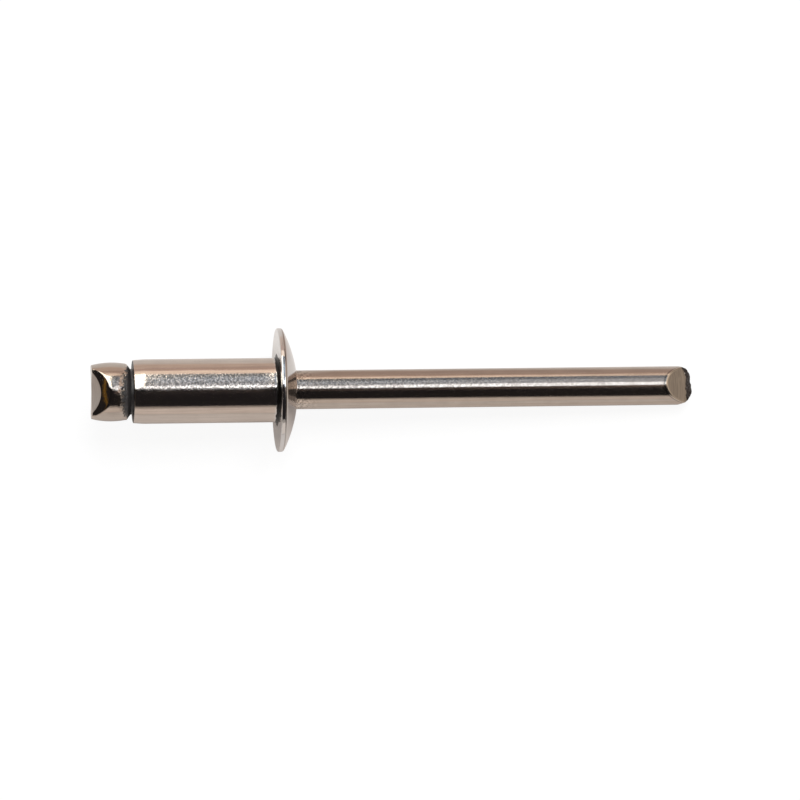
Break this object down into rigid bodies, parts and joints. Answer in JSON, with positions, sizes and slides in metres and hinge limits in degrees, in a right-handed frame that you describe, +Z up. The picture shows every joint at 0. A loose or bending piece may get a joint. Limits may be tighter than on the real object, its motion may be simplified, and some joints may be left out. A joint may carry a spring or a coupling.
{
  "type": "pop rivet",
  "caption": "Open-end blind rivet with a domed flange and its break-stem mandrel still in it, lying on its flange rim and stem tip.",
  "frame": {"origin": "on the surface that the rivet lies on, under the middle of its length", "axes": "+X runs under the rivet towards the tip of its stem, +Z is up, and the rivet's own axis dips by 6.25 degrees towards +X"},
  "size_m": [0.0448, 0.0092, 0.0092],
  "materials": {
    "rivet_body": "drawn stainless steel, polished, with faint lengthwise drawing lines",
    "mandrel": "drawn stainless wire, pinched and torn at both ends"
  },
  "bodies": {
    "root": {"rivet_body": "rivet_body", "mandrel": "mandrel"}
  },
  "joints": []
}
